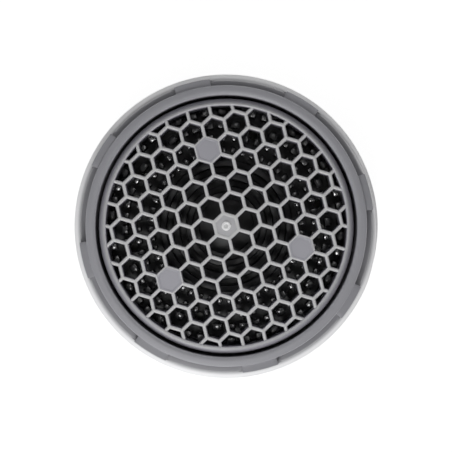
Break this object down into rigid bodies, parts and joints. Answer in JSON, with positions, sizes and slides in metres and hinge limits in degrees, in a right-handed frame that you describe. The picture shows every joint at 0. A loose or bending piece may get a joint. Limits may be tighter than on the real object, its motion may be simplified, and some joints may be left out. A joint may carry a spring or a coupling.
{
  "type": "tap aerator",
  "caption": "Concealed tap aerator: threaded sleeve with key notches at its lip, round honeycomb outlet in a ring gap for air, pin field behind it, seal washer and inlet strainer.",
  "frame": {"origin": "middle of the strainer's flat crown, on the surface that the aerator stands on", "axes": "+Z along the axis from the inlet to the outlet face; +X through the middle of one tab of the sleeve's rim"},
  "size_m": [0.0239, 0.0238, 0.014],
  "materials": {
    "grey_plastic": "satin moulded",
    "light_grey_plastic": "satin moulded",
    "black_plastic": "semi-gloss moulded",
    "white_plastic": "satin moulded",
    "black_rubber": "matte moulded"
  },
  "bodies": {
    "root": {"threaded_sleeve": "grey_plastic", "honeycomb_insert": "light_grey_plastic", "jet_former": "black_plastic", "regulator_disc": "white_plastic", "regulator_o_ring": "black_rubber", "inlet_strainer": "white_plastic", "seal_washer": "black_rubber"}
  },
  "joints": []
}
